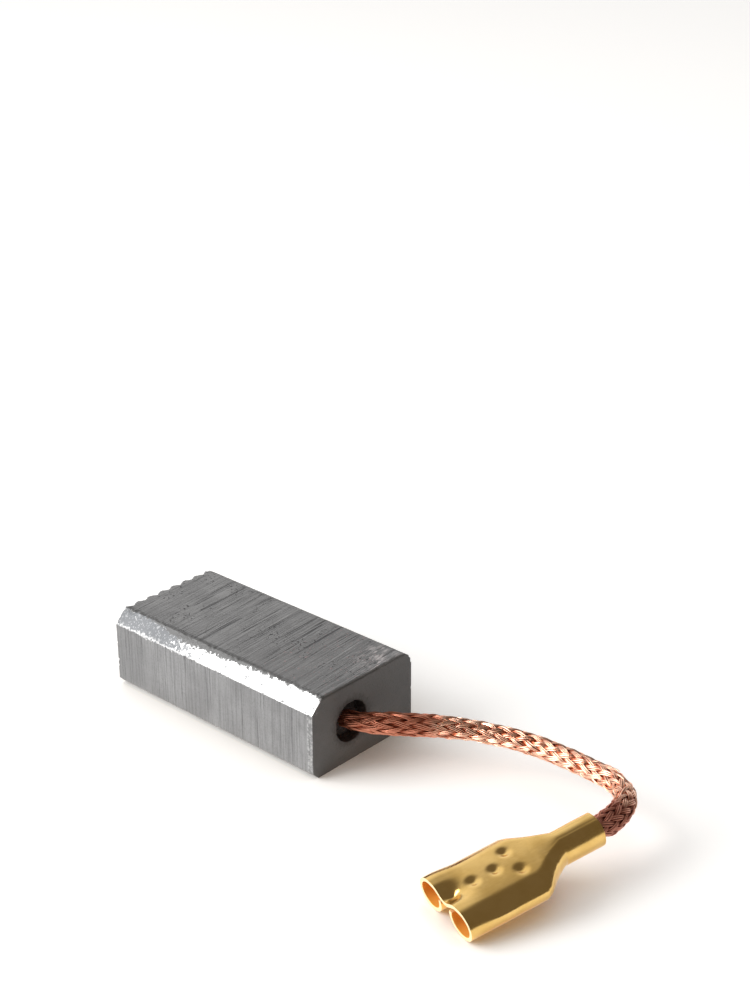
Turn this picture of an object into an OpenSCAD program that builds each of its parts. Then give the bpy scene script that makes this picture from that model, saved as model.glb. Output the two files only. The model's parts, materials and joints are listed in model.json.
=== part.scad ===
// Carbon brush of an electric motor: a sawn carbon block, a copper braid tamped
// into a bore in one end, and a folded brass receptacle crimped on the braid.
// The block lies on its broad face. Origin: centre of the block's underside.
// +X runs from the contact face to the bored end, and +Z is up. Millimetres.

/* [Carbon block] */
// Length from the contact face to the bored end
block_l = 20; // [16:0.5:30]
// Width across the broad faces
block_w = 10; // [9:0.5:14]
// Thickness, as the block lies
block_t = 6; // [5:0.5:9]
// Chamfer along the two upper long edges
edge_chamfer = 1; // [0.4:0.1:1.5]
// Chamfer along the two lower long edges
foot_chamfer = 0.5; // [0.2:0.1:1]
// Bevel of the upper edge at the bored end
end_bevel = 0.3; // [0.1:0.05:0.8]

/* [Contact face] */
// Number of bedding-in grooves across the width
groove_count = 7; // [3:1:8]
// Distance from one groove to the next
groove_pitch = 1.15; // [0.8:0.05:1.3]
// Depth of a groove
groove_depth = 0.25; // [0.1:0.05:0.5]
// Flat land left between two grooves
groove_land = 0.35; // [0.2:0.05:0.6]

/* [Bore and tamping] */
// Diameter of the bore for the braid
bore_d = 3; // [2.2:0.1:3.6]
// Depth of the bore's round wall
bore_depth = 8; // [6:0.5:12]
// How far the bore is off the middle of the width
bore_offset = -1.2; // [-1.5:0.1:1.5]
// How far the tamped powder stays below the bore's mouth
plug_recess = 0.8; // [0.4:0.1:1.2]

/* [Copper braid] */
// Diameter of the braid
braid_d = 1.5; // [1.2:0.1:1.8]
// Length of braid gripped by the tamped powder
braid_grip = 6.4; // [4:0.2:7]
// Length of braid that looks out of the crimp into the open neck
braid_stub = 1.2; // [0.5:0.1:1.8]

/* [Brass receptacle] */
// Thickness of the brass sheet
sheet = 0.25; // [0.2:0.01:0.3]
// Width of the tab that the receptacle takes
tab_w = 4.8; // [4.4:0.1:5.2]
// Room beside the tab for the round of the rolls, both sides together
tab_clearance = 0.5; // [0.4:0.05:0.6]
// Height over the rolled edges
curl_h = 2.1; // [1.8:0.05:2.1]
// Turn of the rolled edges, in degrees
curl_turn = 285; // [270:1:295]
// Length of the rolled body
body_l = 5.5; // [5:0.1:6]
// Length from the mouth to the crimped barrel
neck_end = 8.4; // [8:0.1:8.8]
// Length over all
receptacle_l = 11; // [10.8:0.1:12]
// Width of the crimped barrel
barrel_w = 2.2; // [2.15:0.05:2.6]
// Room between the braid and the barrel's wall
crimp_clearance = 0.02; // [0.01:0.01:0.05]
// Seam left between the two edges of the barrel
seam_gap = 0.08; // [0.04:0.01:0.2]
// Diameter of a pressed dimple
dimple_d = 1.1; // [0.8:0.05:1.2]
// Depth of a pressed dimple
dimple_depth = 0.15; // [0.05:0.01:0.18]
// Dip of the sheet in the middle of the mouth
mouth_dip = 0.4; // [0:0.05:0.45]

/* [How the free end lies] */
// Heading of the receptacle in plan, in degrees
lie_heading = 72; // [72:1:72]
// Rise of the receptacle towards its barrel, in degrees
lie_rise = 10; // [10:1:10]

/* [Hidden] */
$fn = 64;
eps = 0.01;

contact_x = -block_l / 2;
bored_x = block_l / 2;
bore_z = block_t / 2;
plug_x = bored_x - plug_recess;
bore_floor_x = bored_x - bore_depth;
drill_angle = 118;
drill_tip = bore_d / 2 / tan(drill_angle / 2);

// Centre of the braid where it enters the barrel, and the line it follows there.
entry = [29.99, -0.66, 3];
along = [cos(lie_heading) * cos(lie_rise), sin(lie_heading) * cos(lie_rise), sin(lie_rise)];
barrel_l = receptacle_l - neck_end;

// The free braid, from the tamped powder to the barrel.
free_route = [
    [10.1, -1.05, 3], [10.9, -0.65, 3], [12, 0.15, 3], [13.5, 1.35, 2.95], [15.1, 2.55, 2.9],
    [16.8, 3.55, 2.85], [18.3, 4.2, 2.8], [20, 4.7, 2.8], [21.8, 4.95, 2.8], [23.9, 4.95, 2.85],
    [25.9, 4.85, 2.9], [27.1, 4.7, 2.95], [28.2, 4.3, 3], [29.2, 3.6, 3.1], [29.9, 2.6, 3.17],
    [30.22, 1.4, 3.2], [30.23, 0.35, 3.14]
];
braid_route = concat(
    [[plug_x - braid_grip, bore_offset, bore_z], [plug_x, bore_offset, bore_z]],
    free_route,
    [for (back = [0, barrel_l, barrel_l + braid_stub]) entry - back * along]
);
braid_sides = 8;

// Middle line of the sheet in one cross-section of the receptacle. Its right half runs
// along a flat, round an elliptic roll and along a straight tail:
// [distance from the mouth, half flat, roll half width, roll half height, turn, tail, rise],
// where rise is how far the flat's middle stands above its ends.
body_half = (tab_w + tab_clearance + sheet) / 2;
roll_w = 1.1;
roll_h = (curl_h - sheet) / 2;
barrel_half = (barrel_w - sheet) / 2;
barrel_roll_w = 0.72;
barrel_roll_h = (braid_d + sheet) / 2 + crimp_clearance;
barrel_flat = barrel_half - barrel_roll_w;
barrel_tail = barrel_flat - seam_gap / 2;
barrel_arch = 0.03;
body_hollow = 0.06;
body_step = body_l / 20;
lead_in_l = 2.2;
neck_l = neck_end - body_l;
stations = concat(
    [for (i = [0:20])
        [i * body_step, body_half - roll_w, roll_w, roll_h, curl_turn, 0, -body_hollow]],
    [
        [body_l + 0.12 * neck_l, 1.55, 1.06, roll_h, 230, 0, -0.04],
        [body_l + 0.24 * neck_l, 1.32, 1, roll_h, 165, 0, -0.03],
        [body_l + 0.38 * neck_l, 1.04, 0.9, roll_h, 128, 0, 0.01],
        [body_l + 0.55 * neck_l, 0.74, 0.8, roll_h, 115, 0, 0.02],
        [body_l + 0.75 * neck_l, 0.46, 0.74, barrel_roll_h, 112, 0, barrel_arch],
        [body_l + 0.9 * neck_l, barrel_flat, barrel_roll_w, barrel_roll_h, 120, 0, barrel_arch]
    ],
    [for (u = [neck_end, (neck_end + receptacle_l) / 2, receptacle_l])
        [u, barrel_flat, barrel_roll_w, barrel_roll_h, 176, barrel_tail, barrel_arch]]
);
flat_steps = 6;
roll_steps = 10;
half_steps = flat_steps + roll_steps + 1;
dimples = [[0.7, 0], [2.1, 0], [3.65, 0], [4.95, 0.95], [4.95, -0.95]];
entry_drop = barrel_roll_h + sheet / 2;

// A point of the middle line and its outward normal: [across, up, normal across, normal up].
function hollow(distance, reach) = (1 + cos(180 * min(1, distance / reach))) / 2;
function add(v) = v * [for (x = v) 1];
function flat_point(s, j) =
    let (
        across = s[1] * j / flat_steps,
        lead_in = mouth_dip * hollow(s[0], lead_in_l) * hollow(across, s[1]),
        pressed = add([for (d = dimples) hollow(norm([s[0], across] - d), dimple_d / 2)])
    )
    [across, s[6] * (1 - pow(across / s[1], 2)) - lead_in - dimple_depth * pressed, 0, 1];
function roll_point(s, turn) =
    let (
        na = sin(turn) / s[2],
        nu = cos(turn) / s[3],
        size = norm([na, nu])
    )
    [s[1] + s[2] * sin(turn), -s[3] + s[3] * cos(turn), na / size, nu / size];
function tail_point(s) =
    let (last = roll_point(s, s[4]), tail = max(s[5], eps))
    [last[0] + tail * last[3], last[1] - tail * last[2], last[2], last[3]];
function mid_point(s, j) =
    j <= flat_steps ? flat_point(s, j)
    : j < half_steps ? roll_point(s, s[4] * (j - flat_steps) / roll_steps)
    : tail_point(s);
function side_point(s, j, side) =
    let (p = mid_point(s, abs(j)), hand = j < 0 ? -1 : 1)
    [s[0], hand * (p[0] + side * p[2] * sheet / 2), p[1] - sheet / 2 + side * p[3] * sheet / 2];
function sheet_loop(s) = concat(
    [for (j = [-half_steps:half_steps]) side_point(s, j, 1)],
    [for (j = [half_steps:-1:-half_steps]) side_point(s, j, -1)]
);

// Unit direction of a route at point i, and a ring of points square to it.
function unit(v) = v / norm(v);
function heading_at(route, i) =
    unit(route[min(i + 1, len(route) - 1)] - route[max(i - 1, 0)]);
function ring(route, i, r, sides) =
    let (
        ahead = heading_at(route, i),
        side = unit(cross(ahead, [0, 0, 1])),
        top = cross(side, ahead)
    )
    [for (k = [0:sides - 1])
        route[i] + r * (cos(360 * k / sides) * side + sin(360 * k / sides) * top)];

// Closed solid through a list of loops that all have the same number of points.
module skin(loops) {
    n = len(loops[0]);
    last = len(loops) - 1;
    polyhedron(
        points = [for (loop = loops) each loop],
        faces = concat(
            [[for (k = [0:n - 1]) k]],
            [for (i = [0:last - 1], k = [0:n - 1])
                [i * n + k, (i + 1) * n + k, (i + 1) * n + (k + 1) % n, i * n + (k + 1) % n]],
            [[for (k = [n - 1:-1:0]) last * n + k]]
        ),
        convexity = 8
    );
}

// Seen along the block: chamfered long edges.
module block_section() {
    half = block_w / 2;
    polygon([
        [-half + foot_chamfer, 0], [half - foot_chamfer, 0], [half, foot_chamfer],
        [half, block_t - edge_chamfer], [half - edge_chamfer, block_t],
        [-half + edge_chamfer, block_t], [-half, block_t - edge_chamfer], [-half, foot_chamfer]
    ]);
}

// Seen from above: V grooves cut across the contact face.
module block_plan() {
    first = -groove_pitch * (groove_count - 1) / 2;
    half_open = (groove_pitch - groove_land) / 2;
    difference() {
        translate([contact_x, -block_w / 2]) square([block_l, block_w]);
        for (i = [0:groove_count - 1])
            translate([contact_x, first + i * groove_pitch])
                polygon([[-eps, -half_open], [0, -half_open], [groove_depth, 0],
                    [0, half_open], [-eps, half_open]]);
    }
}

// Seen from the side: the small bevel at the bored end.
module block_side() {
    polygon([
        [contact_x, 0], [bored_x, 0], [bored_x, block_t - end_bevel],
        [bored_x - end_bevel, block_t], [contact_x, block_t]
    ]);
}

module bore_space() {
    translate([bore_floor_x, bore_offset, bore_z]) rotate([0, 90, 0]) {
        cylinder(h = bore_depth + eps, d = bore_d);
        translate([0, 0, -drill_tip]) cylinder(h = drill_tip, d1 = 0, d2 = bore_d);
    }
}

module carbon_block() {
    color("dimgray") difference() {
        intersection() {
            translate([contact_x, 0, 0]) rotate([90, 0, 90])
                linear_extrude(height = block_l) block_section();
            linear_extrude(height = block_t) block_plan();
            translate([0, block_w / 2, 0]) rotate([90, 0, 0])
                linear_extrude(height = block_w) block_side();
        }
        bore_space();
    }
}

module tamping_plug() {
    color("#2a2826") difference() {
        translate([bore_floor_x, bore_offset, bore_z]) rotate([0, 90, 0])
            cylinder(h = plug_x - bore_floor_x, d = bore_d);
        translate([plug_x - braid_grip, bore_offset, bore_z]) rotate([0, 90, 0])
            cylinder(h = braid_grip + eps, d = braid_d);
    }
}

module shunt_braid() {
    color("#b5654a")
        skin([for (i = [0:len(braid_route) - 1]) ring(braid_route, i, braid_d / 2, braid_sides)]);
}

module terminal() {
    color("#c9a44a")
        translate(entry) rotate([0, -lie_rise, lie_heading])
            translate([-receptacle_l, 0, entry_drop])
                skin([for (s = stations) sheet_loop(s)]);
}

carbon_block();
tamping_plug();
shunt_braid();
terminal();
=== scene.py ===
# %% [markdown]
# # A carbon brush, in Blender
#
# A carbon brush feeds current to the turning part of an electric motor. This one is a small
# sawn block of graphite with a copper braid tamped into one end, and a folded brass
# receptacle crimped on the braid. It lies on a white bench.
#
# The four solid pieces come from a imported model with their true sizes. This lesson
# replaces each of them by a mesh with the detail that a lens sees: nibbled edges and saw
# marks, crumbly tamping, single copper wires, and folded sheet brass with pressed dimples.

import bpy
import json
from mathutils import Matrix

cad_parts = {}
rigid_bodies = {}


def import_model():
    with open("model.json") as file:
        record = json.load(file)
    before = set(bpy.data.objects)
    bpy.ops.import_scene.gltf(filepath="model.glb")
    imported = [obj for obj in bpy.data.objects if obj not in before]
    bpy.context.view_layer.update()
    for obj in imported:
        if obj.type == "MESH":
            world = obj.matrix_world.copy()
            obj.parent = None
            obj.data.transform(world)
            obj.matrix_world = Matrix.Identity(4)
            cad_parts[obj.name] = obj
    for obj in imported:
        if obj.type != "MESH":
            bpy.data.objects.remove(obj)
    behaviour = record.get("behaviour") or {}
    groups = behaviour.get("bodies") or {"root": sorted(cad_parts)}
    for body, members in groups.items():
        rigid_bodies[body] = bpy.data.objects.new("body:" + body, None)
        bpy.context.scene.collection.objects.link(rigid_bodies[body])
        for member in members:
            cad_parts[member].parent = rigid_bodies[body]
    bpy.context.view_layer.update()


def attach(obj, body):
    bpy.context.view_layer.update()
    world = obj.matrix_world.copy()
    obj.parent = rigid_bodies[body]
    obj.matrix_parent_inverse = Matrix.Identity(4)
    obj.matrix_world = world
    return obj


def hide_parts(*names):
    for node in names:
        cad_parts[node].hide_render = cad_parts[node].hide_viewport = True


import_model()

# %% [markdown]
# ## Tools for the whole lesson
#
# The object is only 4 cm long, so every piece is modelled in millimetres, where numbers are
# easy to read, and is scaled down to metres at the end, when its scale is also applied.
# Operators work on what is selected, so each step starts by selecting one thing only.

# %% Helpers
import json
import math
import random

import bmesh
import bpy
from mathutils import Matrix, Vector, kdtree, noise

MM = 0.001


def only(piece):
    """Leaves one object selected and active."""
    bpy.ops.object.select_all(action="DESELECT")
    piece.select_set(True)
    bpy.context.view_layer.objects.active = piece


def apply_all(piece):
    """Applies the piece's modifiers from the top down."""
    only(piece)
    for modifier in list(piece.modifiers):
        bpy.ops.object.modifier_apply(modifier=modifier.name)


def to_metres(piece):
    """Turns a piece modelled in millimetres into metres, with nothing left on its object."""
    only(piece)
    piece.scale = (MM, MM, MM)
    bpy.ops.object.transform_apply(location=True, rotation=True, scale=True)


def stand_for(piece, node):
    """Puts a finished piece in the place of a CAD node."""
    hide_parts(node)
    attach(piece, "root")
    print(piece.name, "has", len(piece.data.polygons), "faces")


def blend_step(low, high, value):
    """0 below low, 1 above high, and a smooth rise between."""
    t = min(1.0, max(0.0, (value - low) / (high - low)))
    return t * t * (3 - 2 * t)


print("a blend a quarter of the way up:", blend_step(0, 1, 0.25))


# %% [markdown]
# ## The camera
#
# A small part shot close up has strong perspective: lines that run away from the lens close
# in quickly. So the camera stands only some 12 cm from the block, above and beside the bored
# end, with a lens that is long for such a small picture. A camera looks along its own -Z, so
# its turn is built from three plain turns: heading, dip and a touch of roll.

# %% Camera
camera_place = Vector((82.1, -77.8, 65.6)) * MM
camera_heading = math.radians(132.35)
camera_dip = math.radians(23.69)
camera_roll = math.radians(0.28)
camera_lens = 64.1

bpy.ops.object.select_all(action="DESELECT")
bpy.ops.object.camera_add()
camera = bpy.context.object
camera.name = "camera"
camera.matrix_world = (
    Matrix.Translation(camera_place)
    @ Matrix.Rotation(camera_heading - math.pi / 2, 4, "Z")
    @ Matrix.Rotation(math.pi / 2 - camera_dip, 4, "X")
    @ Matrix.Rotation(-camera_roll, 4, "Z")
)
camera.data.lens = camera_lens
camera.data.sensor_width = 36
camera.data.clip_start = 0.005
camera.data.clip_end = 20
bpy.context.scene.camera = camera
print("camera at", [round(c, 4) for c in camera_place], "with a lens of", camera_lens, "mm")

# %% [markdown]
# ## The braid's route
#
# The braid is a cord of fixed length: about 25 mm lie free between the block and the
# receptacle. It leaves the bore, swings away to one side and turns back into the crimped
# barrel, about 3 mm above the bench all the way. The points are the ones that the solid
# tube follows, and a Catmull-Rom curve runs through them.

# %% Points on the route
bore_centre = Vector((10, -1.2, 3))
braid_inner_x = 2.8
plug_mouth_x = 9.2
barrel_entry = Vector((29.99, -0.66, 3))
lie_heading = math.radians(72)
lie_rise = math.radians(10)
barrel_length = 2.6
braid_stub = 1.2
braid_d = 1.5

receptacle_axis = Vector((
    math.cos(lie_heading) * math.cos(lie_rise),
    math.sin(lie_heading) * math.cos(lie_rise),
    math.sin(lie_rise),
))
free_route = [
    (10.1, -1.05, 3), (10.9, -0.65, 3), (12, 0.15, 3), (13.5, 1.35, 2.95), (15.1, 2.55, 2.9),
    (16.8, 3.55, 2.85), (18.3, 4.2, 2.8), (20, 4.7, 2.8), (21.8, 4.95, 2.8), (23.9, 4.95, 2.85),
    (25.9, 4.85, 2.9), (27.1, 4.7, 2.95), (28.2, 4.3, 3), (29.2, 3.6, 3.1), (29.9, 2.6, 3.17),
    (30.22, 1.4, 3.2), (30.23, 0.35, 3.14),
]
braid_route = (
    [Vector((x, bore_centre.y, bore_centre.z)) for x in (braid_inner_x, plug_mouth_x)]
    + [Vector(p) for p in free_route]
    + [barrel_entry - back * receptacle_axis for back in (0, barrel_length, barrel_length + braid_stub)]
)
print("route of", len(braid_route), "points")

# %% [markdown]
# The curve is first drawn through the points in many short pieces. The steps are then
# picked from those by the length gone, because the points lie at uneven distances.

# %% Smooth line
fine_steps = 40


def smooth_line(points, step):
    """A Catmull-Rom curve through the points, cut into equal steps."""
    ends = [2 * points[0] - points[1]] + points + [2 * points[-1] - points[-2]]
    fine = []
    for before, a, b, after in zip(ends, ends[1:], ends[2:], ends[3:]):
        span = (b - a).length
        turn_a = (b - before) * span / ((a - before).length + span)
        turn_b = (after - a) * span / ((after - b).length + span)
        for k in range(fine_steps):
            t = k / fine_steps
            fine.append(
                a * (2 * t**3 - 3 * t**2 + 1) + turn_a * (t**3 - 2 * t**2 + t)
                + b * (3 * t**2 - 2 * t**3) + turn_b * (t**3 - t**2)
            )
    fine.append(points[-1].copy())
    even = [fine[0]]
    gone = 0.0
    for p, q in zip(fine, fine[1:]):
        gone += (q - p).length
        if gone >= step:
            even.append(q)
            gone -= step
    return even


line_step = 0.16
braid_line = smooth_line(braid_route, line_step)

# %% [markdown]
# A wire wound round that line needs to know which way is sideways at every step. Taking the
# side from one fixed direction would twist the braid where it turns, so each frame is
# carried on from the one before it, with only the bend of the line taken up.

# %% Frames along the line
def carried_frames(line):
    """(place, side, top) at each step, with no twist of its own."""
    ahead = (line[1] - line[0]).normalized()
    side = ahead.cross(Vector((0, 0, 1))).normalized()
    frames = []
    for i, place in enumerate(line):
        after = line[min(i + 1, len(line) - 1)]
        before = line[max(i - 1, 0)]
        now = (after - before).normalized()
        side = (side - now * side.dot(now)).normalized()
        frames.append((place, side, now.cross(side) * -1))
    return frames


braid_frames = carried_frames(braid_line)
mouth_step = min(range(len(braid_line)), key=lambda i: abs(braid_line[i].x - bore_centre.x))
entry_step = min(range(len(braid_line)), key=lambda i: (braid_line[i] - barrel_entry).length)
print("free braid:", round((entry_step - mouth_step) * line_step, 1), "mm")

# %% [markdown]
# ## The copper braid
#
# Real braid is plaited on a machine from bobbins that dance round each other. Here are
# twenty-four bundles, twelve winding each way, and each passes over two and under two of the
# others. A bundle is three fine wires side by side. Where a bundle is on top it shows as a
# long bright lens, and this pattern is what the eye knows as braid.
#
# The height of a bundle above the middle line is a cosine of its place among the crossings,
# with opposite sign for the two directions, so they never run through each other. Just past
# the bore the braid has been pushed back and is loose and thick. In the middle it is
# stretched and slim, and where it bends into the barrel it swells again.

# %% Braid rules
bundles_each_way = 12
wires_per_bundle = 3
wire_r = 0.052
weave_height = 0.085
radius_in_bore = 0.54
pitch_at_bore = 18


def shown(i):
    """True where the braid is in the open, and the wires need all of their points."""
    return mouth_step - 5 < i < entry_step + 4


def braid_way(i):
    """Distance along the free braid at step i, and the free length."""
    return (i - mouth_step) * line_step, (entry_step - mouth_step) * line_step


def braid_radius(i):
    """Radius of the middle of the wires at step i."""
    s, free = braid_way(i)
    radius = radius_in_bore + 0.15 * blend_step(0, 2.6, s) - 0.08 * blend_step(4.5, 9, s)
    radius += 0.1 * blend_step(free - 4.5, free - 1.6, s)
    return radius - 0.11 * blend_step(free - 1.1, free + 0.1, s)


def braid_pitch(i):
    """Length in which a bundle winds once round the braid at step i."""
    s, free = braid_way(i)
    return pitch_at_bore - 4.5 * blend_step(0, 8, s) - 4 * blend_step(free - 5, free - 1, s)


turns_at = [0.0]
for i in range(1, len(braid_frames)):
    turns_at.append(turns_at[-1] + line_step / braid_pitch(i))
print("a bundle winds", round(turns_at[-1], 2), "times round the whole braid")

# %% [markdown]
# No two wires lie quite alike. A slow noise along the braid, with its own seed for each
# wire, shifts it a little sideways and up and down. The bundles near the bore have more
# slack than the rest, so they stray further.

# %% Wires of the braid
wobble_length = 1.7
wire_gap = 0.1
bundle_crown = 0.02
core_share = 0.45
core_pitch = 30


def wander(i, seed, reach):
    """A slow wobble along the braid that is different for each seed."""
    return reach * noise.noise(Vector((i * line_step / wobble_length, seed * 3.7, seed * 1.3)))


def bundle_wire(hand, k, w):
    """Points of wire w in bundle k that winds with hand +1 or -1."""
    points = []
    seed = k * 7 + w + (0 if hand > 0 else 100)
    across = w - (wires_per_bundle - 1) / 2
    for i, (place, side, top) in enumerate(braid_frames):
        radius = braid_radius(i)
        slack = 1 - blend_step(5, 9, braid_way(i)[0])
        crossing = 2 * bundles_each_way * turns_at[i]
        shift = -2 * k - crossing if hand > 0 else 2 * k + crossing
        rise = hand * math.cos(math.tau * (shift - 0.5) / 4)
        lift = weave_height * rise * (1 + wander(i, 3 * seed, 0.7)) - bundle_crown * across * across
        spread = wire_gap + 0.012 * rise + wander(i, seed + 50, 0.03)
        angle = hand * (math.tau * (turns_at[i] + k / bundles_each_way) + across * spread / radius)
        angle += wander(i, k * hand, 0.2 + 0.1 * slack)
        reach = radius + lift + wander(i, seed, 0.045)
        points.append(place + reach * (math.cos(angle) * side + math.sin(angle) * top))
    return points


def core_wire(k, count):
    """Points of a wire that fills the middle of the braid."""
    points = []
    for i, (place, side, top) in enumerate(braid_frames):
        radius = core_share * braid_radius(i) + wander(i, k + 300, 0.04)
        angle = math.tau * (k / count + i * line_step / core_pitch)
        points.append(place + radius * (math.cos(angle) * side + math.sin(angle) * top))
    return points


print("points on one wire:", len(bundle_wire(1, 0, 0)))

# %% [markdown]
# A few wires have sprung out of the braid. Each leaves the surface, bows away from it and
# ends free or dips back in. At the cut end, behind the crimp, the wires splay a little and
# end at different lengths.

# %% Stray wires and the cut end
random.seed(11)
splay_points = 5
splay_reach = 0.12
hidden_every = 4


def stray_wire(start, length, angle, rise, free_end):
    """A wire that leaves the braid at one step and bows away from it."""
    points = []
    steps = max(4, int(length / line_step))
    for j in range(steps + 1):
        i = min(start + j, len(braid_frames) - 1)
        place, side, top = braid_frames[i]
        t = j / steps
        bow = rise * (t * t if free_end else math.sin(math.pi * t))
        radius = braid_radius(i) + 0.03 + bow
        turn = angle + 0.9 * t
        points.append(place + radius * (math.cos(turn) * side + math.sin(turn) * top))
    return points


def splayed(points):
    """Cuts a wire off at its own length and lets its last millimetre spread."""
    spread = Vector((random.uniform(-1, 1), random.uniform(-1, 1), random.uniform(-1, 1)))
    cut = random.randint(0, 4)
    kept = points[: len(points) - cut]
    for j in range(splay_points):
        bent = splay_reach * ((j + 1) / splay_points) ** 2
        kept[j - splay_points] = kept[j - splay_points] + spread * bent
    return kept


def thinned(points):
    """Keeps all points in the open, and every fourth and the last one in the bore and the crimp."""
    last = len(points) - 1
    return [point for i, point in enumerate(points) if shown(i) or i % hidden_every == 0 or i == last]


wires = []
for hand in (1, -1):
    for k in range(bundles_each_way):
        for w in range(wires_per_bundle):
            wires.append(thinned(splayed(bundle_wire(hand, k, w))))
core_count = 6
core = [core_wire(k, core_count) for k in range(core_count)]
strays = [
    stray_wire(mouth_step + 11, 1.6, 4.2, 0.1, False),
    stray_wire(mouth_step + 65, 1.4, 4.9, 0.12, True),
    stray_wire(mouth_step + 110, 1.8, 1.4, 0.14, True),
    stray_wire(entry_step - 22, 1.6, 0.3, 0.2, True),
    stray_wire(entry_step - 11, 1.2, 5.4, 0.16, True),
    stray_wire(entry_step - 37, 2.0, 3.6, 0.1, False),
]
print(len(wires), "wires in bundles,", core_count, "in the core,", len(strays), "strays")

# %% [markdown]
# All the wires are splines of one curve object. Its bevel gives each of them a round
# section, and converting it makes one mesh. The core wires are thicker, because nobody
# sees them as wires: they only stop light passing through the braid.
#
# How far a point lies above the bottom of the weave is kept in an attribute of the mesh. The material
# uses it: what stands out is painted paler, as rubbed wear and painted highlight, and what lies deep is
# painted darker red, as tarnish and painted shade between the wires.

# %% Build the braid
core_r = 0.17


def wire_mesh(name, lines, radius):
    """One mesh of round wires along the given lines."""
    bpy.ops.object.select_all(action="DESELECT")
    bpy.ops.curve.primitive_nurbs_path_add()
    piece = bpy.context.object
    piece.name = name
    curve = piece.data
    curve.splines.clear()
    for line in lines:
        spline = curve.splines.new("POLY")
        spline.points.add(len(line) - 1)
        for point, place in zip(spline.points, line):
            point.co = (*place, 1)
    curve.bevel_depth = radius
    curve.bevel_resolution = 1
    curve.use_fill_caps = True
    only(piece)
    bpy.ops.object.convert(target="MESH")
    bpy.ops.object.shade_smooth()
    return piece


braid = wire_mesh("copper_braid", wires + strays, wire_r)
braid_core = wire_mesh("copper_braid_core", core, core_r)
bpy.ops.object.select_all(action="DESELECT")
braid_core.select_set(True)
braid.select_set(True)
bpy.context.view_layer.objects.active = braid
bpy.ops.object.join()

finder = kdtree.KDTree(len(braid_line))
for i, point in enumerate(braid_line):
    finder.insert(point, i)
finder.balance()
height = braid.data.attributes.new("height", "FLOAT", "POINT")
for vertex in braid.data.vertices:
    _, i, gap = finder.find(vertex.co)
    deep = braid_radius(i) - weave_height
    height.data[vertex.index].value = (gap - deep) / (2 * weave_height + wire_r)
to_metres(braid)
stand_for(braid, "shunt_braid")

# %% [markdown]
# ## The brass receptacle
#
# The maker stamps a flat blank out of 0.25 mm brass and folds it. The body's two edges are
# rolled under until they nearly touch the base again, and a flat tab slides in between. The
# blank narrows to an open neck, and its tail is wrapped round the braid. The same fold is
# done here: a flat grid is the blank, and a rule says where each of its points goes.
#
# In a cross-section the half sheet is a flat, then an elliptic roll, then a straight tail.
# The table gives these for stations along the length, and values between them are blended.
# It is the table the solid receptacle was made from.

# %% Fold rules
sheet = 0.25
body_length = 5.5
neck_end = 8.4
receptacle_length = neck_end + barrel_length
body_half = (4.8 + 0.5 + sheet) / 2
roll_w = 1.1
roll_h = (2.1 - sheet) / 2
barrel_roll_w = 0.72
barrel_roll_h = (braid_d + sheet) / 2 + 0.02
barrel_flat = (2.2 - sheet) / 2 - barrel_roll_w
barrel_tail = barrel_flat - 0.04
neck_length = neck_end - body_length
# from the mouth, half flat, roll half width, roll half height, turn, tail, rise
fold_table = [
    (0, body_half - roll_w, roll_w, roll_h, 285, 0, -0.06),
    (body_length, body_half - roll_w, roll_w, roll_h, 285, 0, -0.06),
    (body_length + 0.12 * neck_length, 1.55, 1.06, roll_h, 230, 0, -0.04),
    (body_length + 0.24 * neck_length, 1.32, 1.0, roll_h, 165, 0, -0.03),
    (body_length + 0.38 * neck_length, 1.04, 0.9, roll_h, 128, 0, 0.01),
    (body_length + 0.55 * neck_length, 0.74, 0.8, roll_h, 115, 0, 0.02),
    (body_length + 0.75 * neck_length, 0.46, 0.74, barrel_roll_h, 112, 0, 0.03),
    (body_length + 0.9 * neck_length, barrel_flat, barrel_roll_w, barrel_roll_h, 120, 0, 0.03),
    (neck_end, barrel_flat, barrel_roll_w, barrel_roll_h, 176, barrel_tail, 0.03),
    (receptacle_length, barrel_flat, barrel_roll_w, barrel_roll_h, 176, barrel_tail, 0.03),
]
dimples = [(0.7, 0), (2.1, 0), (3.65, 0), (4.95, 0.95), (4.95, -0.95)]
dimple_r = 0.63
dimple_depth = 0.17
body_crown = 0.3
mouth_dip = 0.4
lead_in = 2.2
print("stations:", [round(row[0], 2) for row in fold_table])

# %% [markdown]
# The sheet is not quite flat. Five dimples are pressed in from above, the middle dips at the
# mouth to lead the tab in, and the back falls away a little to both sides of its middle.
# All three move the sheet's middle surface, so the inside shows them as well.

# %% Folding a point
def fold_at(u):
    """The row of the fold table at distance u from the mouth, blended."""
    for low, high in zip(fold_table, fold_table[1:]):
        if u <= high[0]:
            t = (u - low[0]) / (high[0] - low[0])
            return [a + (b - a) * t for a, b in zip(low, high)]
    return list(fold_table[-1])


def hollow(distance, reach):
    """1 in the middle and 0 beyond reach, with a round bottom."""
    return (1 + math.cos(math.pi * min(1.0, distance / reach))) / 2


def crown_at(u, across, up, half_width, height):
    """How far the back falls away from its middle, less towards both ends and down the sides."""
    along = blend_step(0.4, 2.4, u) * (1 - blend_step(body_length - 0.4, neck_end - 0.6, u))
    return -body_crown * along * (across / half_width) ** 2 * max(0.0, 1 + up / height)


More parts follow.
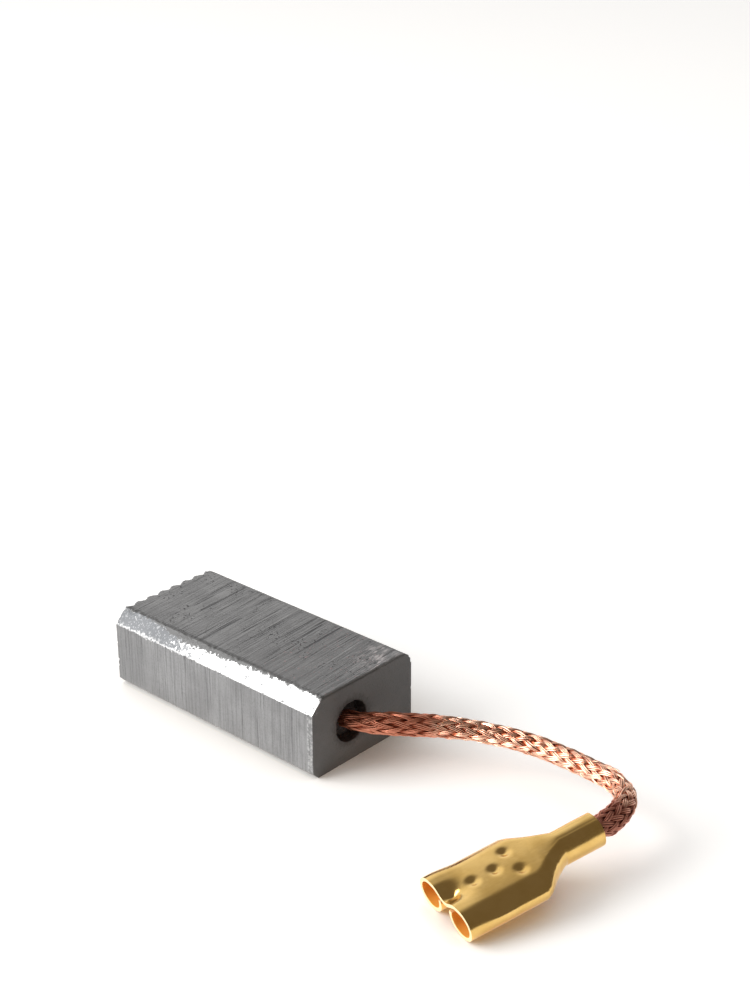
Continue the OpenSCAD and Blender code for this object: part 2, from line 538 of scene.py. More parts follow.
def folded_point(u, s):
    """Where a point of the blank goes: u along it and s in -1..1 from edge to edge."""
    _, flat, width, height, turn, tail, rise = fold_at(u)
    hand = -1 if s < 0 else 1
    roll_mean = (width + height) / 2
    roll_length = math.radians(turn) * roll_mean
    way = abs(s) * (flat + roll_length + tail)
    if way <= flat:
        up = rise * (1 - (way / flat) ** 2)
        up -= mouth_dip * hollow(u, lead_in) * hollow(way, 0.75 * flat)
        for du, dv in dimples:
            up -= dimple_depth * hollow(math.hypot(u - du, hand * way - dv), dimple_r)
        return Vector((u, hand * way, up + crown_at(u, way, 0, flat + width, height) - sheet / 2))
    bend = min(way - flat, roll_length) / roll_mean
    across = flat + width * math.sin(bend)
    up = -height + height * math.cos(bend)
    go = max(0.0, way - flat - roll_length)
    ahead = Vector((width * math.cos(bend), -height * math.sin(bend))).normalized()
    lift = crown_at(u, across, up, flat + width, height)
    return Vector((u, hand * (across + go * ahead.x), up + lift + go * ahead.y - sheet / 2))


edge_place = folded_point(receptacle_length / 2, 1)
print("half way along, the sheet's edge goes to", [round(c, 2) for c in edge_place])

# %% [markdown]
# The grid's rows and columns become the blank's length and width, and a slow noise adds the
# unevenness of a cheap stamping. Solidify then gives the sheet its thickness, half to each
# side, and a small bevel breaks the cut edges. Solidify also gives the inner skin and the
# cut edges their own material slots, which saves picking their faces by hand.

# %% Build the receptacle
length_cells = 150
width_cells = 110
stamping_wave = 0.018
stamping_scale = 0.7
cut_edge_bevel = 0.035
noise.seed_set(11)
bpy.ops.object.select_all(action="DESELECT")
bpy.ops.mesh.primitive_grid_add(x_subdivisions=length_cells, y_subdivisions=width_cells, size=2)
receptacle = bpy.context.object
receptacle.name = "brass_receptacle"
for vertex in receptacle.data.vertices:
    u = (vertex.co.x + 1) / 2 * receptacle_length
    place = folded_point(u, vertex.co.y)
    vertex.co = place + stamping_wave * noise.noise_vector(place * stamping_scale)

for _ in ("skin", "inside", "cut edge"):
    receptacle.data.materials.append(None)
thickness = receptacle.modifiers.new("thickness", "SOLIDIFY")
thickness.thickness = sheet
thickness.offset = 0
thickness.use_even_offset = True
thickness.material_offset = 1
thickness.material_offset_rim = 2
edges = receptacle.modifiers.new("edges", "BEVEL")
edges.width = cut_edge_bevel
edges.segments = 2
edges.limit_method = "ANGLE"
edges.angle_limit = math.radians(60)
apply_all(receptacle)
bpy.ops.object.shade_smooth()

barrel_drop = barrel_roll_h + sheet / 2
receptacle.data.transform(
    Matrix.Translation(barrel_entry)
    @ Matrix.Rotation(lie_heading, 4, "Z")
    @ Matrix.Rotation(-lie_rise, 4, "Y")
    @ Matrix.Translation((-receptacle_length, 0, barrel_drop))
)
to_metres(receptacle)
stand_for(receptacle, "terminal")

# %% [markdown]
# ## The carbon block
#
# Graphite blocks are pressed as plates and sawn, and the chamfers are ground on. The body is
# a cube with its long edges bevelled. The far upper edge is worn round, so its bevel has more
# segments. The bore and the grooves of the contact face are then cut with booleans.

# %% Block, shaped by hand
block_l = 20.0
block_w = 10.0
block_t = 6.0
edge_chamfer = 1.0
foot_chamfer = 0.5
end_bevel = 0.15
bore_r = 1.5
bore_depth = 8.0
groove_count = 7
groove_pitch = 1.15
groove_depth = 0.25
groove_land = 0.35
far_edge_segments = 4
NEAR = 0.01


def bevel_edges(piece, width, segments, wanted):
    """Bevels the edges whose middle point passes the test."""
    only(piece)
    bpy.ops.object.mode_set(mode="EDIT")
    bpy.ops.mesh.select_mode(type="EDGE")
    bpy.ops.mesh.select_all(action="DESELECT")
    mesh = bmesh.from_edit_mesh(piece.data)
    for edge in mesh.edges:
        middle = (edge.verts[0].co + edge.verts[1].co) / 2
        if wanted(middle):
            edge.select_set(True)
    bmesh.update_edit_mesh(piece.data)
    bpy.ops.mesh.bevel(offset=width, segments=segments, affect="EDGES")
    bpy.ops.object.mode_set(mode="OBJECT")


bpy.ops.object.select_all(action="DESELECT")
bpy.ops.mesh.primitive_cube_add(size=1, location=(0, 0, block_t / 2))
block = bpy.context.object
block.name = "graphite_block"
block.scale = (block_l, block_w, block_t)
bpy.ops.object.transform_apply(location=True, rotation=True, scale=True)
side_y = block_w / 2 - NEAR
top_z = block_t - NEAR
bevel_edges(block, edge_chamfer, 1, lambda m: m.y < -side_y and m.z > top_z)
bevel_edges(block, edge_chamfer, far_edge_segments, lambda m: m.y > side_y and m.z > top_z)
bevel_edges(block, foot_chamfer, 1, lambda m: abs(m.y) > side_y and m.z < NEAR)
bevel_edges(block, end_bevel, 2, lambda m: m.x > block_l / 2 - NEAR and m.z > top_z)
print("block body:", len(block.data.polygons), "faces")

# %% [markdown]
# The bore is drilled first. Each groove is sawn with a four-sided cylinder, which is a
# square bar on its corner, flattened until its corner is as deep as the groove.

# %% Bore and grooves
def cut_with(piece, tool):
    """Takes the tool's shape out of the piece and throws the tool away."""
    cut = piece.modifiers.new("cut", "BOOLEAN")
    cut.object = tool
    cut.solver = "EXACT"
    apply_all(piece)
    bpy.data.objects.remove(tool)


bpy.ops.mesh.primitive_cylinder_add(
    vertices=96, radius=bore_r, depth=bore_depth + 1,
    location=(block_l / 2 - bore_depth / 2 + 0.5, bore_centre.y, bore_centre.z),
    rotation=(0, math.pi / 2, 0),
)
cut_with(block, bpy.context.object)
groove_half = (groove_pitch - groove_land) / 2
for k in range(groove_count):
    across = (k - (groove_count - 1) / 2) * groove_pitch
    bpy.ops.mesh.primitive_cylinder_add(
        vertices=4, radius=1, depth=block_t + 2, location=(-block_l / 2, across, block_t / 2)
    )
    saw = bpy.context.object
    saw.scale = (groove_depth, groove_half, 1)
    cut_with(block, saw)
print("drilled and sawn:", len(block.data.polygons), "faces before the wear")

# %% [markdown]
# ## Wear on the block
#
# Graphite is brittle, so its edges are never sharp: they are nibbled all along. A voxel
# remesh covers the block with small even faces. Then each point near an edge is pushed in by
# a noise that is cut off below a threshold, which leaves most of the edge whole and takes
# small bites out of it. A point's nearness to an edge is its distance to the second nearest
# of the block's planes.

# %% Remesh and nibble
voxel = 0.1
edge_reach = 0.25
even_wear = 0.012
bite = 0.13
bite_threshold = 0.34

remesh = block.modifiers.new("even_faces", "REMESH")
remesh.mode = "VOXEL"
remesh.voxel_size = voxel
apply_all(block)
bpy.ops.object.shade_smooth()

root_half = math.sqrt(0.5)
block_planes = [
    (Vector((0, 0, 1)), block_t),
    (Vector((0, 0, -1)), 0.0),
    (Vector((0, 1, 0)), block_w / 2),
    (Vector((0, -1, 0)), block_w / 2),
    (Vector((1, 0, 0)), block_l / 2),
    (Vector((-1, 0, 0)), block_l / 2),
    (Vector((0, -root_half, root_half)), (block_w / 2 + block_t - edge_chamfer) * root_half),
]


def edge_nearness(place):
    """1 on an edge of the block and 0 beyond edge_reach."""
    gaps = sorted(reach - normal.dot(place) for normal, reach in block_planes)
    return 1 - min(1.0, max(0.0, gaps[1]) / edge_reach)


def bite_depth(place):
    """How much a point on an edge is pushed in."""
    fine = noise.noise(place * 4.2)
    coarse = noise.noise(place * 0.8 + Vector((7, 3, 1)))
    rough_edge = blend_step(2.5, 3.8, -place.y) * blend_step(3.5, 4.5, place.z)
    rough_edge *= 1 - 0.7 * blend_step(3, 8, place.x)
    return even_wear + bite * max(0.0, fine + 0.8 * coarse - bite_threshold + 0.2 * rough_edge)


worn_points = 0
for vertex in block.data.vertices:
    near = edge_nearness(vertex.co)
    if near > 0:
        vertex.co -= vertex.normal * (near * bite_depth(vertex.co))
        worn_points += 1
print(worn_points, "of", len(block.data.vertices), "points lie near an edge")
to_metres(block)
stand_for(block, "carbon_block")

# %% [markdown]
# ## The tamping
#
# Copper and graphite powder is rammed into the bore round the braid, which is what holds the
# braid in the block. It is a disc with a hole, a little below the mouth, with a crumbly
# face. The disc's face is cut into small cells and roughened with noise.

# %% Tamping plug
plug_bottom_x = 2.0
plug_r = bore_r - 0.01
face_x = plug_mouth_x - 0.1
grip_r = 0.62
face_share = 0.7
bpy.ops.object.select_all(action="DESELECT")
bpy.ops.mesh.primitive_grid_add(x_subdivisions=20, y_subdivisions=96, size=2)
plug = bpy.context.object
plug.name = "powder_tamping"
for vertex in plug.data.vertices:
    share = (vertex.co.x + 1) / 2
    angle = vertex.co.y * math.pi
    if share < face_share:
        reach = grip_r + (plug_r - grip_r) * share / face_share
        crumb = noise.noise(Vector((math.cos(angle) * reach * 4, math.sin(angle) * reach * 4, 0)))
        along = face_x + 0.13 * crumb + 0.25 * (1 - share / face_share)
    else:
        reach = plug_r
        along = face_x - (plug_mouth_x - plug_bottom_x) * (share - face_share) / (1 - face_share)
    vertex.co = (
        along,
        bore_centre.y + reach * math.cos(angle),
        bore_centre.z + reach * math.sin(angle),
    )
only(plug)
bpy.ops.object.mode_set(mode="EDIT")
bpy.ops.mesh.select_all(action="SELECT")
bpy.ops.mesh.remove_doubles(threshold=0.001)
bpy.ops.mesh.select_mode(type="EDGE")
bpy.ops.mesh.select_all(action="DESELECT")
bpy.ops.mesh.select_non_manifold()
bpy.ops.mesh.fill_holes(sides=0)
bpy.ops.mesh.select_all(action="SELECT")
bpy.ops.mesh.normals_make_consistent(inside=False)
bpy.ops.object.mode_set(mode="OBJECT")
bpy.ops.object.shade_smooth()
to_metres(plug)
stand_for(plug, "tamping_plug")

# %% [markdown]
# ## Building materials
#
# Every material here is a small network of nodes round a Principled shader. These helpers
# add a node, join two sockets, and read where a point is on the object. That place doesn't
# slide when the camera moves, so all the patterns start from it.

# %% Nodes and links
def new_material(name):
    """A fresh material and its shader node."""
    material = bpy.data.materials.new(name)
    material.use_nodes = True
    return material, material.node_tree.nodes["Principled BSDF"]


def add(material, kind, **values):
    """Adds a node and sets its unlinked inputs and settings by name."""
    node = material.node_tree.nodes.new(kind)
    for key, value in values.items():
        name = key.replace("_", " ")
        if name in node.inputs:
            node.inputs[name].default_value = value
        else:
            setattr(node, key, value)
    return node


def join(material, source, target):
    """Joins an output socket to an input socket."""
    material.node_tree.links.new(source, target)


def place_of(material, turn=0.0):
    """Where a point is on the object, turned about the upright axis if wanted."""
    place = add(material, "ShaderNodeTexCoord").outputs["Object"]
    if turn:
        turned = add(material, "ShaderNodeMapping", Rotation=(0, 0, turn))
        join(material, place, turned.inputs["Vector"])
        place = turned.outputs["Vector"]
    return place


print("materials start from the place on the object, in metres")

# %% [markdown]
# Patterns are put together by arithmetic on numbers between 0 and 1: a soft ramp between
# two levels, a product that keeps a mark to one face, a sum, and a mix of two colours.

# %% Ramps, sums and mixes
def between(material, value, low, high, out_low=0.0, out_high=1.0):
    """Maps low..high of a socket to out_low..out_high with a soft ease."""
    ramp = add(material, "ShaderNodeMapRange", interpolation_type="SMOOTHSTEP")
    ramp.inputs["From Min"].default_value = low
    ramp.inputs["From Max"].default_value = high
    ramp.inputs["To Min"].default_value = out_low
    ramp.inputs["To Max"].default_value = out_high
    join(material, value, ramp.inputs["Value"])
    return ramp.outputs["Result"]


def maths(material, operation, a, b=0.0):
    """One arithmetic step on sockets or plain numbers."""
    step = add(material, "ShaderNodeMath", operation=operation)
    for socket, value in zip(step.inputs, (a, b)):
        if isinstance(value, (int, float)):
            socket.default_value = value
        else:
            join(material, value, socket)
    return step.outputs["Value"]


def times(material, *values):
    """The product of all the values."""
    result = values[0]
    for value in values[1:]:
        result = maths(material, "MULTIPLY", result, value)
    return result


def plus(material, *values):
    """The sum of all the values."""
    result = values[0]
    for value in values[1:]:
        result = maths(material, "ADD", result, value)
    return result


def without(material, share):
    """What a share leaves of 1."""
    return maths(material, "SUBTRACT", 1.0, share)


def swing(material, value, reach):
    """A 0..1 value moved to both sides of zero and scaled."""
    return times(material, maths(material, "SUBTRACT", value, 0.5), reach)


def mixed(material, share, a, b):
    """A colour between two colours or colour sockets."""
    mix = add(material, "ShaderNodeMix", data_type="RGBA")
    join(material, share, mix.inputs[0])
    for socket, value in ((mix.inputs[6], a), (mix.inputs[7], b)):
        if isinstance(value, tuple):
            socket.default_value = (*value, 1)
        else:
            join(material, value, socket)
    return mix.outputs[2]


print("ramps, sums and mixes are ready")

# %% [markdown]
# ## Graphite: which face is it
#
# Sawn graphite is dark grey with a soft sheen, and its faces differ by how they were cut; the ends are
# also painted darker, as painted shade.
# The normal tells which face a point is on, so one material can treat the broad faces, the
# narrow sides and the two ends in their own ways. The ground chamfer is found by its place:
# on its plane, height plus nearness is 10 mm, and it is less everywhere else.

# %% Graphite faces
graphite, shader = new_material("graphite")
geometry = add(graphite, "ShaderNodeNewGeometry")
facing = add(graphite, "ShaderNodeSeparateXYZ")
join(graphite, geometry.outputs["True Normal"], facing.inputs["Vector"])
on_broad = between(graphite, maths(graphite, "ABSOLUTE", facing.outputs["Z"]), 0.86, 0.93)
on_side = between(graphite, maths(graphite, "ABSOLUTE", facing.outputs["Y"]), 0.86, 0.93)
on_end = between(graphite, maths(graphite, "ABSOLUTE", facing.outputs["X"]), 0.6, 0.85)
spot = add(graphite, "ShaderNodeSeparateXYZ")
join(graphite, place_of(graphite), spot.inputs["Vector"])
outwards = maths(graphite, "SUBTRACT", spot.outputs["Z"], spot.outputs["Y"])
on_chamfer = between(graphite, outwards, 0.0099, 0.00995)
print("graphite starts with", len(graphite.node_tree.nodes), "nodes")

# %% [markdown]
# ## Graphite: saw marks and scratches
#
# The saw went across the broad faces a little askew and left fine lines and some deeper
# ones. The narrow sides have fine upright lines. Pits gather in patches. Each kind of mark
# is noise that is stretched a lot along one axis, and cut off by a ramp so that only its
# crests count.

# %% Grain
def grain(material, stretch, detail=3.0, offset=(0, 0, 0), turn=0.0):
    """Noise with its own number of grains per metre on each axis."""
    mapping = add(material, "ShaderNodeMapping", Scale=stretch, Location=offset)
    noise_node = add(material, "ShaderNodeTexNoise", Scale=1.0, Detail=detail, Roughness=0.6)
    join(material, place_of(material, turn), mapping.inputs["Vector"])
    join(material, mapping.outputs["Vector"], noise_node.inputs["Vector"])
    return noise_node.outputs["Fac"]


fine_grains = 7600
print("fine saw lines lie about", round(1000 / fine_grains, 2), "mm apart")

# %% Graphite marks
saw_turn = math.radians(-4)
light_turn = math.radians(-6)


def crests(stretch, detail, offset, turn, low, high):
    """The crests of a graphite grain, cut off between two levels."""
    return between(graphite, grain(graphite, stretch, detail, offset, turn), low, high)


saw_groups = crests((800, 190, 190), 3.0, (0.6, 0, 0), saw_turn, 0.36, 0.56)
saw_fine = crests((fine_grains, 150, 150), 3.0, (0, 0, 0), saw_turn, 0.42, 0.64)
saw_deep = crests((4200, 80, 80), 3.0, (0.3, 0, 0), saw_turn, 0.54, 0.64)
saw_light = crests((6500, 110, 110), 2.0, (0.9, 0, 0), light_turn, 0.62, 0.7)
side_fine = crests((6200, 6200, 170), 3.0, (0.7, 0, 0), 0, 0.42, 0.64)
side_deep = crests((5400, 5400, 80), 3.0, (0.1, 0, 0), 0, 0.56, 0.66)
patches = grain(graphite, (330, 330, 330), 4.0)
pores = crests((7000, 7000, 7000), 3.0, (0.1, 0.2, 0.3), 0, 0.45, 0.7)
pits = times(
    graphite,
    crests((4200, 4200, 4200), 2.0, (0, 0.2, 0), 0, 0.6, 0.66),
    crests((420, 420, 420), 2.0, (0.5, 0, 0), 0, 0.5, 0.6),
)
sawn = plus(graphite, times(graphite, saw_fine, 0.42), times(graphite, saw_deep, saw_groups))
upright = plus(graphite, times(graphite, side_fine, 0.4), times(graphite, side_deep, 0.55))
marks = plus(
    graphite,
    times(graphite, on_broad, sawn),
    times(graphite, on_side, upright),
    times(graphite, pits, on_broad, 1.4),
    times(graphite, pores, 0.25),
)
marks = times(graphite, marks, without(graphite, times(graphite, on_chamfer, 0.8)))
print("with its marks it has", len(graphite.node_tree.nodes), "nodes")

# %% [markdown]
# ## Graphite: colour and sheen
#
# The broad faces grow darker towards the bored end, and the ends are painted much darker than the other
# faces, as painted shade. The chamfers were ground last, so they are burnished; their pale grey is
# partly a painted sheen, and it turns mottled towards the contact face, where the grinding wheel left
# it.
# Some bright scuffs lie near the far corner of the bored end, and powder from the tamping
# has smeared dark round the bore.

# %% Graphite tones
def grey(level, blue=1.0):
    """A grey of a given level, with a touch more or less blue."""
    return (level, level, level * blue)


def spread(low, high):
    """A grey that drifts between two levels in patches."""
    return mixed(graphite, between(graphite, patches, 0.35, 0.65), grey(low, 1.01), grey(high, 1.01))


along_block = spot.outputs["X"]
darker_end = times(graphite, between(graphite, along_block, -0.007, 0.009), 0.35)
tone = mixed(graphite, darker_end, spread(0.23, 0.31), grey(0.11))
tone = mixed(graphite, on_side, tone, spread(0.21, 0.27))
# Painted shade: the ends get a much darker grey than the other faces.
tone = mixed(graphite, on_end, tone, spread(0.125, 0.16))
mottle = grain(graphite, (3600, 3600, 3600), 5.0, (0.4, 0.1, 0))
specks = between(graphite, mottle, 0.54, 0.62)
left_third = between(graphite, along_block, -0.0068, 0.0002, 1.0, 0.0)
worn = between(graphite, plus(graphite, left_third, swing(graphite, mottle, 3.4)), 0.2, 0.7)
# Painted sheen: the burnished chamfer gets a pale grey, speckled where it is worn.
speckled_sheen = mixed(graphite, times(graphite, specks, 0.6), (0.17, 0.178, 0.19), (0.5, 0.51, 0.52))
tone = mixed(graphite, on_chamfer, tone, mixed(graphite, worn, grey(0.55), speckled_sheen))
print("with its tones it has", len(graphite.node_tree.nodes), "nodes")

# %% [markdown]
# The upper edge of the burnished chamfer is ragged: there the dark broad face has crumbled into it.
# Along the lower edge, where the chamfer is dull, a thin bright line is painted as a painted highlight.
# Both are bands at a set height, whose limits are shifted up and down by a noise.

# %% Graphite edges
crumble = grain(graphite, (3800, 3800, 3800), 5.0, (0.2, 0.6, 0))
ragged_height = plus(graphite, spot.outputs["Z"], swing(graphite, crumble, 0.0009))
near_side = between(graphite, spot.outputs["Y"], -0.0036, -0.0038, 0.0, 1.0)
crumble_reach = times(
    graphite,
    between(graphite, along_block, -0.0065, -0.0035),
    between(graphite, along_block, -0.0035, 0.0085, 0.00036, 0.0),
)
crumble_height = plus(graphite, ragged_height, crumble_reach)
crumbled = times(graphite, near_side, between(graphite, crumble_height, 0.00592, 0.00597))
tone = mixed(graphite, crumbled, tone, grey(0.13))
# Painted highlight: a thin pale line along the chamfer's lower edge.
painted_edge_highlight = times(
    graphite,
    near_side,
    worn,
    between(graphite, ragged_height, 0.00491, 0.00496),
    between(graphite, ragged_height, 0.00503, 0.0051, 1.0, 0.0),
)
tone = mixed(graphite, times(graphite, painted_edge_highlight, 0.8), tone, grey(0.75))
end_strip = times(
    graphite,
    on_side,
    between(graphite, along_block, 0.00945, 0.00955),
    between(graphite, mottle, 0.42, 0.62),
)
tone = mixed(graphite, end_strip, tone, grey(0.45))
print("with its edges it has", len(graphite.node_tree.nodes), "nodes")

# %% [markdown]
# The marks darken the tone, a few saw lines are light, and the scuffs, the reddish flecks
# and the smear round the bore come on top. The burnish lowers the roughness and gives the
# chamfer a half-metallic lustre.

# %% Distance, bump and dress
def distance_from(material, point):
    """Distance in metres from a fixed point of the object."""
    gap = add(material, "ShaderNodeVectorMath", operation="DISTANCE")
    join(material, place_of(material), gap.inputs[0])
    gap.inputs[1].default_value = point
    return gap.outputs["Value"]


def bump(material, shader, height, depth):
    """Relief of the given depth in metres under the shader."""
    relief = add(material, "ShaderNodeBump", Strength=1.0, Distance=depth)
    join(material, height, relief.inputs["Height"])
    join(material, relief.outputs["Normal"], shader.inputs["Normal"])


def dress(piece, material):
    """Gives the whole piece one material."""
    piece.data.materials.clear()
    piece.data.materials.append(material)


print("the smear is measured from", [round(c, 4) for c in bore_centre * MM])

# %% Graphite surface
tone = mixed(graphite, times(graphite, marks, 0.72), tone, (0.05, 0.05, 0.053))
tone = mixed(graphite, times(graphite, saw_light, on_broad, 0.42), tone, grey(0.42))
scuff = times(
    graphite,
    on_broad,
    between(graphite, along_block, 0.0068, 0.0086),
    between(graphite, spot.outputs["Y"], -0.0002, 0.0022),
    between(graphite, spot.outputs["Y"], 0.0034, 0.0046, 1.0, 0.0),
    crests((4600, 1300, 1300), 5.0, (0, 0, 0), saw_turn, 0.46, 0.66),
)
tone = mixed(graphite, times(graphite, scuff, 0.85), tone, (0.58, 0.54, 0.54))
flecks = times(
    graphite,
    on_broad,
    between(graphite, along_block, 0.002, 0.005),
    crests((4300, 4300, 4300), 3.0, (0.8, 0.3, 0), 0, 0.62, 0.7),
)
tone = mixed(graphite, flecks, tone, (0.33, 0.22, 0.22))
bore_gap = distance_from(graphite, tuple(bore_centre * MM))
ragged_gap = plus(graphite, bore_gap, swing(graphite, crumble, 0.0012))
smear = between(graphite, ragged_gap, 0.0014, 0.0022, 1.0, 0.0)
tone = mixed(graphite, times(graphite, smear, 0.9), tone, (0.05, 0.047, 0.046))
join(graphite, tone, shader.inputs["Base Color"])

sheen = between(graphite, patches, 0.3, 0.7, 0.42, 0.52)
burnish = times(graphite, on_chamfer, without(graphite, worn), without(graphite, crumbled))
join(graphite, plus(graphite, sheen, times(graphite, burnish, -0.2)), shader.inputs["Roughness"])
join(graphite, plus(graphite, 0.12, times(graphite, burnish, 0.5)), shader.inputs["Metallic"])
relief = plus(graphite, times(graphite, marks, -1.0), times(graphite, worn, on_chamfer, mottle, 0.8))
bump(graphite, shader, relief, 0.022 * MM)
dress(block, graphite)
print("graphite is done with", len(graphite.node_tree.nodes), "nodes")

# %% [markdown]
# ## Tamping powder
#
# Nearly black and quite rough, with a few grains of copper that catch the light.

# %% Powder material
powder, shader = new_material("tamping_powder")
copper_grains = between(powder, grain(powder, (9000, 9000, 9000), 1.0), 0.72, 0.76)
powder_black = (0.06, 0.055, 0.055)
grain_red = (0.3, 0.14, 0.1)
join(powder, mixed(powder, copper_grains, powder_black, grain_red), shader.inputs["Base Color"])
shader.inputs["Roughness"].default_value = 0.9
bump(powder, shader, grain(powder, (7000, 7000, 7000), 4.0), 0.08 * MM)
dress(plug, powder)
print("tamping powder:", len(powder.node_tree.nodes), "nodes")

# %% [markdown]
# ## Copper wire
#
# Bare copper is a metal: all its colour is in its reflections. Near the bore it is rougher and painted
# browner, and at the bend by the crimp it is rougher and painted darkest: both colours are painted
# shade, where the braid turns away from the light. Distances from the bore and from the barrel mark
# these two stretches, and noise keeps their boundaries uneven. A finer noise changes the tone from wire
# to wire.

# %% Copper material
copper, shader = new_material("bare_copper")
unevenness = grain(copper, (700, 700, 700), 3.0)
wobble = swing(copper, unevenness, 4 * MM)
from_bore = plus(copper, distance_from(copper, tuple(bore_centre * MM)), wobble)
from_barrel = plus(copper, distance_from(copper, tuple(barrel_entry * MM)), wobble)
near_bore = between(copper, from_bore, 0.0052, 0.0074, 1.0, 0.0)
near_barrel = between(copper, from_barrel, 0.0024, 0.0035, 1.0, 0.0)
weave = add(copper, "ShaderNodeAttribute", attribute_name="height")
uneven_height = plus(copper, weave.outputs["Fac"], swing(copper, unevenness, 0.8))
# Wear and painted light: raised wires are paler, and deep ones darker red, as tarnish and painted
# shade.
raised_share = between(copper, uneven_height, 0.35, 0.85)
tarnish = between(copper, grain(copper, (2600, 2600, 2600), 3.0, (0.2, 0, 0)), 0.4, 0.65)
deep_tone = mixed(copper, tarnish, (0.64, 0.19, 0.09), (0.38, 0.09, 0.04))
colour = mixed(copper, raised_share, deep_tone, (0.97, 0.6, 0.44))
# Painted shade: near the bore the copper is painted browner and darker.
painted_shade_near_bore = mixed(copper, raised_share, (0.3, 0.07, 0.035), (0.72, 0.27, 0.17))
colour = mixed(copper, times(copper, near_bore, 0.9), colour, painted_shade_near_bore)
# Painted shade: at the bend by the crimp the copper is painted darkest.
painted_shade_at_bend = mixed(copper, raised_share, (0.24, 0.07, 0.045), (0.6, 0.24, 0.17))
colour = mixed(copper, times(copper, near_barrel, 0.9), colour, painted_shade_at_bend)
join(copper, colour, shader.inputs["Base Color"])
dull = maths(copper, "MAXIMUM", near_bore, near_barrel)
join(copper, between(copper, dull, 0.0, 1.0, 0.25, 0.4), shader.inputs["Roughness"])
shader.inputs["Metallic"].default_value = 1.0
dress(braid, copper)
print("copper:", len(copper.node_tree.nodes), "nodes")

# %% [markdown]
# ## Sheet brass
#
# Rolled brass has a satin skin with faint lines along the strip, and small smudges from
# handling. The lines are a noise that is fine across the strip and long along it. The strip
# lies turned in the frame, so its coordinates are first turned back with a Mapping node.

# %% Brass material
brass, shader = new_material("sheet_brass")
lines = grain(brass, (260, 5200, 5200), 3.0, (0, 0, 0), -lie_heading)
smudge = grain(brass, (520, 520, 520), 4.0)
clean_brass = (0.83, 0.55, 0.19)
smudged_brass = (0.74, 0.47, 0.14)
skin = mixed(brass, between(brass, smudge, 0.35, 0.7), clean_brass, smudged_brass)
join(brass, skin, shader.inputs["Base Color"])
join(brass, between(brass, smudge, 0.3, 0.75, 0.16, 0.26), shader.inputs["Roughness"])
shader.inputs["Metallic"].default_value = 1.0
bump(brass, shader, lines, 0.004 * MM)
receptacle.data.materials[0] = brass
print("sheet brass:", len(brass.node_tree.nodes), "nodes")

# %% [markdown]
# Inside the rolls the sheet never met the polishing drum, so it is rougher and less metallic, and the
# light that gets in is thrown about there. Its deeper orange is painted: a painted glow of the light
# inside the rolls. The cut edges are the palest part of the receptacle, partly bare fresh metal and
# partly a painted highlight along the edges.

# %% Brass inside and at the cut edges
inner_brass, shader = new_material("inner_brass")
dusty = grain(inner_brass, (1800, 1800, 1800), 3.0)
# Painted glow: the deeper orange stands in for the light thrown about inside the rolls.
orange = mixed(inner_brass, dusty, (0.95, 0.52, 0.1), (0.85, 0.42, 0.07))
join(inner_brass, orange, shader.inputs["Base Color"])
join(inner_brass, between(inner_brass, dusty, 0.3, 0.7, 0.5, 0.65), shader.inputs["Roughness"])
shader.inputs["Metallic"].default_value = 0.55
receptacle.data.materials[1] = inner_brass

cut_brass, shader = new_material("cut_brass")
sheared = grain(cut_brass, (3000, 3000, 9000), 3.0)
# Fresh metal and painted highlight: the cut edges are painted pale.
pale = mixed(cut_brass, sheared, (0.98, 0.84, 0.55), (0.93, 0.72, 0.38))
join(cut_brass, pale, shader.inputs["Base Color"])
join(cut_brass, between(cut_brass, sheared, 0.3, 0.7, 0.35, 0.5), shader.inputs["Roughness"])
shader.inputs["Metallic"].default_value = 0.6
bump(cut_brass, shader, sheared, 0.008 * MM)
receptacle.data.materials[2] = cut_brass
print("on the receptacle:", [material.name for material in receptacle.data.materials])

# %% [markdown]
# ## Bench
#
# A white bench that runs far back gives the plain background. To the lens, and in the
# metal's reflections, it gets a little light of its own, so that it is white where the object
# casts no shadow. That part adds no light to the object itself. It fades and warms close to
# the object, as daylight does in a narrow gap, which an ambient occlusion node measures.

# %% Bench
gap_reach = 10 * MM
glow = 0.53
warm_glow = (1.0, 0.82, 0.64)
full_glow = (1.0, 1.0, 1.0)

bpy.ops.object.select_all(action="DESELECT")
bpy.ops.mesh.primitive_plane_add(size=4)
bench = bpy.context.object
bench.name = "bench"
white, shader = new_material("white_bench")
shader.inputs["Base Color"].default_value = (0.82, 0.815, 0.8, 1)
shader.inputs["Roughness"].default_value = 0.8
shader.inputs["Specular IOR Level"].default_value = 0.2
rays = add(white, "ShaderNodeLightPath")
openness = add(white, "ShaderNodeAmbientOcclusion", samples=8, Distance=gap_reach)
open_share = between(white, openness.outputs["AO"], 0.1, 1.0)
join(white, mixed(white, open_share, warm_glow, full_glow), shader.inputs["Emission Color"])
mirrored = maths(white, "MAXIMUM", rays.outputs["Is Glossy Ray"], rays.outputs["Is Transmission Ray"])
seen = maths(white, "MAXIMUM", times(white, rays.outputs["Is Camera Ray"], open_share), mirrored)
join(white, times(white, seen, glow), shader.inputs["Emission Strength"])
dress(bench, white)
print("bench", round(bench.dimensions.x, 2), "m wide, with", len(white.node_tree.nodes), "nodes")

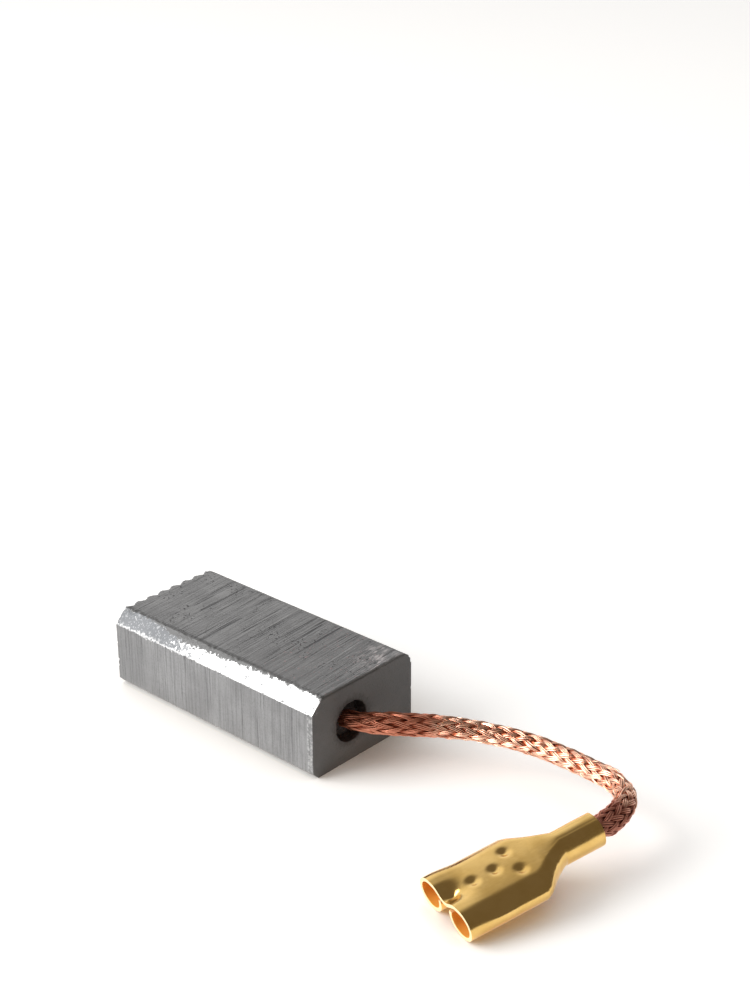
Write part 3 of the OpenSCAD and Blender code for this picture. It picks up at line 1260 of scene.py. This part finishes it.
# %% [markdown]
# ## Light
#
# One large soft lamp stands low to the left, as a window would. It lights the near side,
# whitens the burnished chamfer, and throws the shadows to the right. A weaker one in front
# shines into the receptacle's mouth. The rest is the room, light on the left, and dark
# overhead and on the right. A metal shows what stands round it, so it is this difference
# that gives the brass its dark shoulder and the copper its contrast.

# %% Lamps
lamp_target = Vector((10, 0, 0)) * MM


def soft_lamp(name, direction, distance, size, power):
    """A square lamp that shines at the object from one direction."""
    direction = Vector(direction).normalized()
    bpy.ops.object.select_all(action="DESELECT")
    bpy.ops.object.light_add(type="AREA", location=direction * distance + lamp_target)
    lamp = bpy.context.object
    lamp.name = name
    lamp.rotation_euler = (-direction).to_track_quat("-Z", "Y").to_euler()
    lamp.data.size = size
    lamp.data.energy = power
    print(name, "of", power, "W,", size, "m wide")


soft_lamp("key_lamp", (-0.57, -0.65, 0.5), 0.5, 0.34, 2.4)
soft_lamp("front_lamp", (-0.35, -0.88, 0.26), 0.5, 0.22, 0.9)

# %% [markdown]
# The room is one soft step from dark to light. How far a direction leans towards the light
# side is its dot product with one fixed direction, and a ramp on that gives the step.

# %% Room
light_side = Vector((-0.97, 0.14, -0.15)).normalized()
dark_room = (0.17, 0.15, 0.13, 1)
light_room = (1.08, 1.08, 1.08, 1)

world = bpy.data.worlds.new("studio")
bpy.context.scene.world = world
world.use_nodes = True
ways = world.node_tree.nodes.new("ShaderNodeTexCoord")
lean = world.node_tree.nodes.new("ShaderNodeVectorMath")
lean.operation = "DOT_PRODUCT"
lean.inputs[1].default_value = light_side
fade = world.node_tree.nodes.new("ShaderNodeMapRange")
fade.interpolation_type = "SMOOTHSTEP"
fade.inputs["From Min"].default_value = 0.15
fade.inputs["From Max"].default_value = 0.78
room = world.node_tree.nodes.new("ShaderNodeMix")
room.data_type = "RGBA"
room.inputs[6].default_value = dark_room
room.inputs[7].default_value = light_room
world.node_tree.links.new(ways.outputs["Generated"], lean.inputs[0])
world.node_tree.links.new(lean.outputs["Value"], fade.inputs["Value"])
world.node_tree.links.new(fade.outputs["Result"], room.inputs[0])
world.node_tree.links.new(room.outputs[2], world.node_tree.nodes["Background"].inputs["Color"])
bpy.context.scene.view_settings.view_transform = "Standard"
print("room:", len(world.node_tree.nodes), "nodes")
